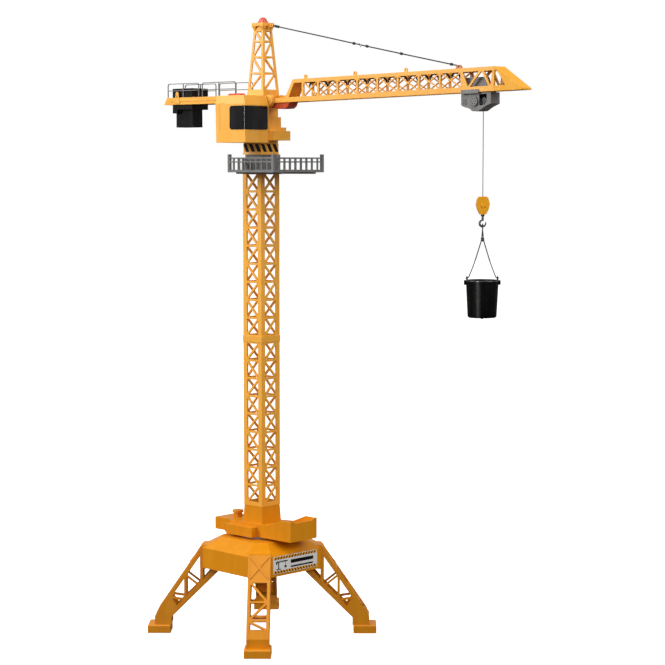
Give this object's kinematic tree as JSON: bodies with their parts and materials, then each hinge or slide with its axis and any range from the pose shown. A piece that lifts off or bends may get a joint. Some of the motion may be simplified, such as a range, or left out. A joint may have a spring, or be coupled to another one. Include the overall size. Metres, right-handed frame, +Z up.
{
  "type": "toy tower crane",
  "caption": "Free-standing toy tower crane with a slewing truss tower, a running trolley, a hoist line with hook and bucket, a cab, a counterweight and four truss legs.",
  "frame": {"origin": "on the floor, on the slewing axis at the middle of the four feet", "axes": "+Z up, +X along the jib towards its tip in the resting pose, +Y to the jib's left"},
  "size_m": [0.8909, 0.3664, 1.2],
  "materials": {
    "yellow_plastic": "satin golden-yellow moulded plastic",
    "orange_plastic": "satin deep yellow moulded plastic",
    "gray_plastic": "satin mid-gray moulded plastic",
    "black_plastic": "satin black moulded plastic",
    "black_window": "gloss smoked plastic",
    "red_plastic": "gloss red plastic",
    "orange_lug": "satin orange plastic",
    "sign_print": "printed label with a plain pictogram",
    "steel": "zinc-plated",
    "white_gear_plastic": "greased white acetal",
    "hook_plastic": "dark gray plastic",
    "cord": "twisted gray cord"
  },
  "bodies": {
    "base": {"base_body": "orange_plastic", "base_floor": "orange_plastic", "base_screws": "steel", "sign_plate": "sign_print", "leg_front": "orange_plastic", "leg_right": "orange_plastic", "leg_back": "orange_plastic", "leg_left": "orange_plastic", "foot_pad_front": "orange_plastic", "foot_pad_right": "orange_plastic", "foot_pad_back": "orange_plastic", "foot_pad_left": "orange_plastic", "slew_ring_gear": "white_gear_plastic", "slew_post": "white_gear_plastic", "slew_retainer": "white_gear_plastic"},
    "crane_head": {"hub_housing": "orange_plastic", "hub_floor": "orange_plastic", "hub_screws": "steel", "deck_knob": "orange_plastic", "slew_motor": "steel", "tower_lower": "yellow_plastic", "tower_upper": "yellow_plastic", "gallery_floor": "gray_plastic", "gallery_railing": "gray_plastic", "bearing_block": "gray_plastic", "hazard_collar": "yellow_plastic", "collar_stripes": "black_plastic", "machine_house": "yellow_plastic", "front_steps": "yellow_plastic", "cab_body": "yellow_plastic", "cab_window": "black_window", "roof_lamp": "red_plastic", "jib_bracket": "yellow_plastic", "root_clip": "red_plastic", "mast": "yellow_plastic", "mast_cap": "yellow_plastic", "beacon": "red_plastic", "counter_deck": "yellow_plastic", "counter_railing": "gray_plastic", "counterweight": "black_plastic", "weight_lug": "yellow_plastic", "jib_truss": "yellow_plastic", "jib_nose": "orange_plastic", "jib_eyelets": "yellow_plastic", "stay_lug": "orange_lug", "stay_line": "cord", "stay_ring": "steel"},
    "slew_pinion": {"slew_pinion": "white_gear_plastic"},
    "trolley": {"trolley_body": "gray_plastic", "trolley_frame": "gray_plastic", "hoist_motor": "steel", "hoist_line": "cord"},
    "front_wheels": {"wheels_front": "black_plastic"},
    "rear_wheels": {"wheels_rear": "black_plastic"},
    "drum": {"hoist_drum": "gray_plastic"},
    "motor_pinion": {"hoist_pinion": "black_plastic"},
    "hook_block": {"hook_block": "orange_plastic"},
    "hook": {"hook": "hook_plastic"},
    "sling": {"sling": "cord"},
    "bucket": {"bucket": "black_plastic"}
  },
  "joints": [
    {"name": "slew", "type": "hinge", "parent": "base", "child": "crane_head", "pos_m": [0, 0, 0.195], "axis": [0, 0, 1], "range_deg": [-174, 174]},
    {"name": "slew_pinion_spin", "type": "hinge", "parent": "crane_head", "child": "slew_pinion", "pos_m": [0.048, 0, 0.193], "axis": [0, 0, 1], "range_deg": [-870, 870]},
    {"name": "trolley_travel", "type": "slide", "parent": "crane_head", "child": "trolley", "axis": [0.9999, 0, 0.0171], "range_m": [-0.37, 0.01]},
    {"name": "front_wheel_roll", "type": "hinge", "parent": "trolley", "child": "front_wheels", "pos_m": [0.56581, 0, 1.04998], "axis": [0, 1, 0], "range_deg": [-5600, 160]},
    {"name": "rear_wheel_roll", "type": "hinge", "parent": "trolley", "child": "rear_wheels", "pos_m": [0.51982, 0, 1.04919], "axis": [0, 1, 0], "range_deg": [-5600, 160]},
    {"name": "hoist", "type": "slide", "parent": "trolley", "child": "hook_block", "axis": [0, 0, 1], "range_m": [0, 0.14], "deforming": ["hoist_line"]},
    {"name": "drum_spin", "type": "hinge", "parent": "trolley", "child": "drum", "pos_m": [0.538, 0, 1.0273], "axis": [0, 1, 0], "range_deg": [-810, 10]},
    {"name": "motor_pinion_spin", "type": "hinge", "parent": "trolley", "child": "motor_pinion", "pos_m": [0.5557, 0, 1.0276], "axis": [0, 1, 0], "range_deg": [-10, 1700]},
    {"name": "hook_swivel", "type": "hinge", "parent": "hook_block", "child": "hook", "pos_m": [0.548, 0, 0.83], "axis": [0, 0, 1], "continuous": true},
    {"name": "sling_swing", "type": "hinge", "parent": "hook", "child": "sling", "pos_m": [0.548, 0, 0.8103], "axis": [0.7071, 0.7071, 0], "range_deg": [-40, 40]},
    {"name": "bucket_tip", "type": "hinge", "parent": "sling", "child": "bucket", "pos_m": [0.548, 0, 0.7193], "axis": [0.7071, 0.7071, 0], "range_deg": [-70, 70]}
  ],
  "couplings": [
    {"joint": "slew_pinion_spin", "follows": "slew", "ratio": 5},
    {"joint": "front_wheel_roll", "follows": "trolley_travel", "rad_per_m": 256.41},
    {"joint": "rear_wheel_roll", "follows": "trolley_travel", "rad_per_m": 256.41},
    {"joint": "drum_spin", "follows": "hoist", "rad_per_m": -100},
    {"joint": "motor_pinion_spin", "follows": "hoist", "rad_per_m": 210.53}
  ]
}
